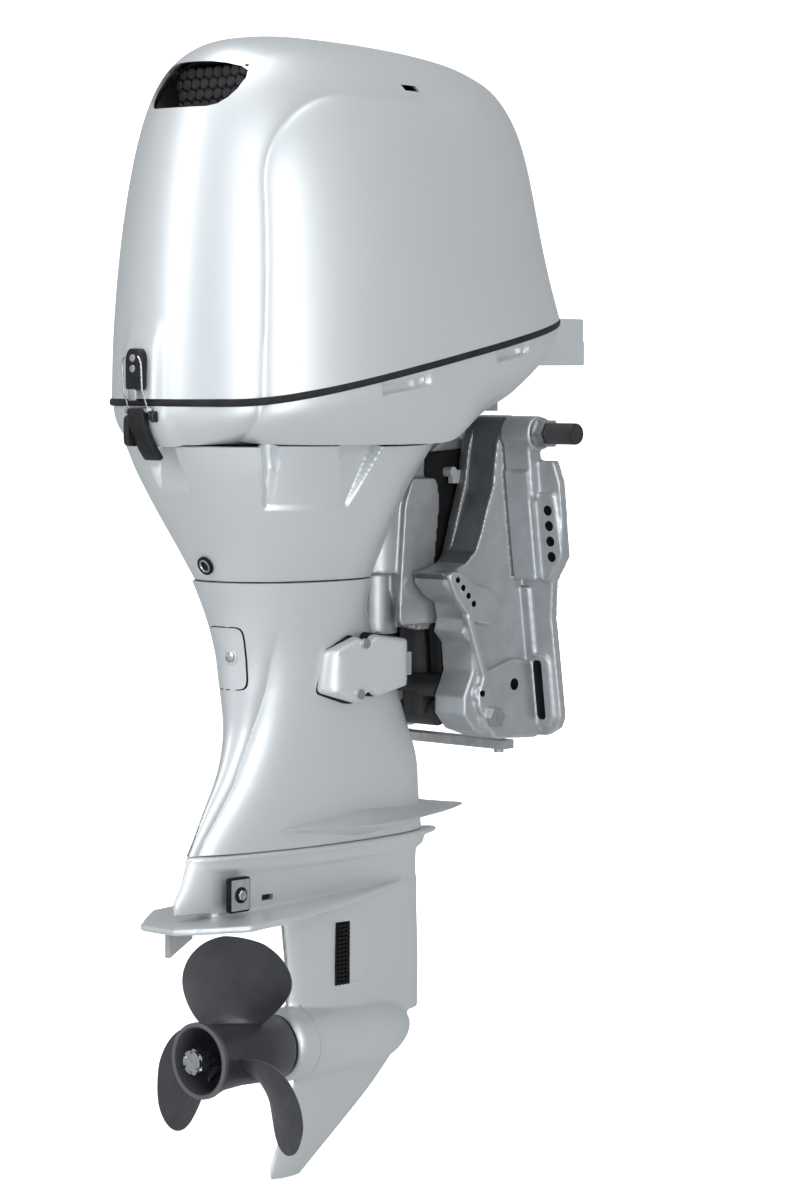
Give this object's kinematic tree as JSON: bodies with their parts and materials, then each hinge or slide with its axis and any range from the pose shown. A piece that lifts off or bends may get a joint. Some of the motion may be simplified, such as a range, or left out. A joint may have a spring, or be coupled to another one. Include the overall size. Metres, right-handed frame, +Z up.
{
  "type": "outboard motor",
  "caption": "Outboard boat motor: lift-off engine cover over an engine, steering and tilting leg, gearcase with screw propeller, and a bracket for the transom.",
  "frame": {"origin": "centre of the tilt tube, midway between the stern brackets", "axes": "+X forward, towards the boat; +Y to port along the tilt tube; +Z up along the drive shaft"},
  "size_m": [0.7249, 0.4015, 1.3599],
  "materials": {
    "silver_paint": "metallic silver lacquer",
    "bare_steel": "satin stainless",
    "black_plastic": "matte moulded",
    "zinc": "dull sacrificial alloy",
    "rubber": "matte",
    "black_paint": "satin dark paint",
    "cast_aluminium": "as cast",
    "cast_iron": "machined and oiled"
  },
  "bodies": {
    "transom_bracket": {"stern_bracket_starboard": "silver_paint", "stern_bracket_port": "silver_paint", "tilt_tube": "bare_steel", "tilt_tube_nuts": "bare_steel", "tilt_tube_cap": "black_plastic", "bracket_anode": "zinc", "lower_cross_bolt": "bare_steel"},
    "tilt_bracket": {"swivel_bracket": "silver_paint", "tilt_bushes": "black_plastic", "swivel_bushes": "black_plastic", "ram_pins": "bare_steel"},
    "tilt_lock": {"tilt_lock_lever": "bare_steel"},
    "ram_barrel": {"tilt_cylinder": "black_paint", "pump_unit": "black_paint"},
    "ram_rod": {"tilt_rod": "bare_steel"},
    "lid": {"engine_cover": "silver_paint", "intake_duct": "black_plastic", "latch_striker": "black_plastic"},
    "latch": {"latch_lever": "black_plastic"},
    "crank": {"crankshaft": "bare_steel", "flywheel": "cast_iron", "drive_shaft": "bare_steel", "pump_impeller": "rubber"},
    "cam": {"camshaft": "bare_steel"},
    "forward_drive": {"forward_gear": "bare_steel"},
    "reverse_drive": {"reverse_gear": "bare_steel"},
    "dog": {"clutch_dog": "bare_steel"},
    "screw": {"prop_shaft": "bare_steel", "propeller": "black_paint", "castle_nut": "bare_steel"},
    "leg": {"swivel_shaft": "bare_steel", "lower_yoke": "cast_aluminium", "mount_rubbers": "rubber", "mount_cover_starboard": "silver_paint", "mount_cover_port": "silver_paint", "mount_cover_bolts": "bare_steel", "upper_case": "silver_paint", "extension_case": "silver_paint", "access_panel": "silver_paint", "panel_screw": "bare_steel", "flush_plug": "black_plastic", "lower_pan": "silver_paint", "front_cover": "silver_paint", "rigging_grommet": "rubber", "cowl_seal": "rubber", "engine_block": "cast_aluminium", "cylinder_head": "cast_aluminium", "head_cover": "black_plastic", "intake_manifold": "black_plastic", "starter_motor": "black_paint", "oil_filter": "black_paint", "control_unit": "black_plastic", "timing_belt": "rubber", "exhaust_tube": "cast_aluminium", "water_pump_housing": "black_plastic", "gearcase": "silver_paint", "water_screens": "black_plastic", "trim_tab": "silver_paint", "gearcase_anode": "zinc", "bearing_carrier": "cast_aluminium"}
  },
  "joints": [
    {"name": "tilt", "type": "hinge", "parent": "transom_bracket", "child": "tilt_bracket", "pos_m": [0, 0, 0], "axis": [0, 1, 0], "range_deg": [0, 68]},
    {"name": "tilt_lock_turn", "type": "hinge", "parent": "tilt_bracket", "child": "tilt_lock", "pos_m": [-0.046, 0, -0.048], "axis": [0, 1, 0], "range_deg": [0, 60]},
    {"name": "ram_swing", "type": "hinge", "parent": "transom_bracket", "child": "ram_barrel", "pos_m": [-0.039, 0, -0.346], "axis": [0, 1, 0], "range_deg": [-2.8, 0]},
    {"name": "ram_extend", "type": "slide", "parent": "ram_barrel", "child": "ram_rod", "axis": [-0.083, 0, 0.9965], "range_m": [0, 0.1037]},
    {"name": "steer", "type": "hinge", "parent": "tilt_bracket", "child": "leg", "pos_m": [-0.13, 0, 0], "axis": [0, 0, 1], "range_deg": [-35, 35]},
    {"name": "cover_lift", "type": "slide", "parent": "leg", "child": "lid", "axis": [0, 0, 1], "range_m": [0, 0.45]},
    {"name": "latch_turn", "type": "hinge", "parent": "leg", "child": "latch", "pos_m": [-0.516, 0, 0.027], "axis": [0, 1, 0], "range_deg": [0, 100]},
    {"name": "crank_spin", "type": "hinge", "parent": "leg", "child": "crank", "pos_m": [-0.205, 0, 0], "axis": [0, 0, 1], "continuous": true},
    {"name": "cam_spin", "type": "hinge", "parent": "leg", "child": "cam", "pos_m": [-0.392, 0, 0], "axis": [0, 0, 1], "continuous": true},
    {"name": "forward_gear_spin", "type": "hinge", "parent": "leg", "child": "forward_drive", "pos_m": [-0.205, 0, -0.732], "axis": [1, 0, 0], "continuous": true},
    {"name": "reverse_gear_spin", "type": "hinge", "parent": "leg", "child": "reverse_drive", "pos_m": [-0.205, 0, -0.732], "axis": [1, 0, 0], "continuous": true},
    {"name": "propeller_spin", "type": "hinge", "parent": "leg", "child": "screw", "pos_m": [-0.36, 0, -0.732], "axis": [1, 0, 0], "continuous": true},
    {"name": "dog_shift", "type": "slide", "parent": "screw", "child": "dog", "axis": [1, 0, 0], "range_m": [-0.0025, 0.0025]}
  ],
  "couplings": [
    {"joint": "ram_swing", "follows": "tilt", "ratio": -0.039057},
    {"joint": "ram_extend", "follows": "tilt", "m_per_rad": 0.087201},
    {"joint": "cam_spin", "follows": "crank_spin", "ratio": 0.5},
    {"joint": "forward_gear_spin", "follows": "crank_spin", "ratio": -0.48},
    {"joint": "reverse_gear_spin", "follows": "crank_spin", "ratio": 0.48}
  ]
}
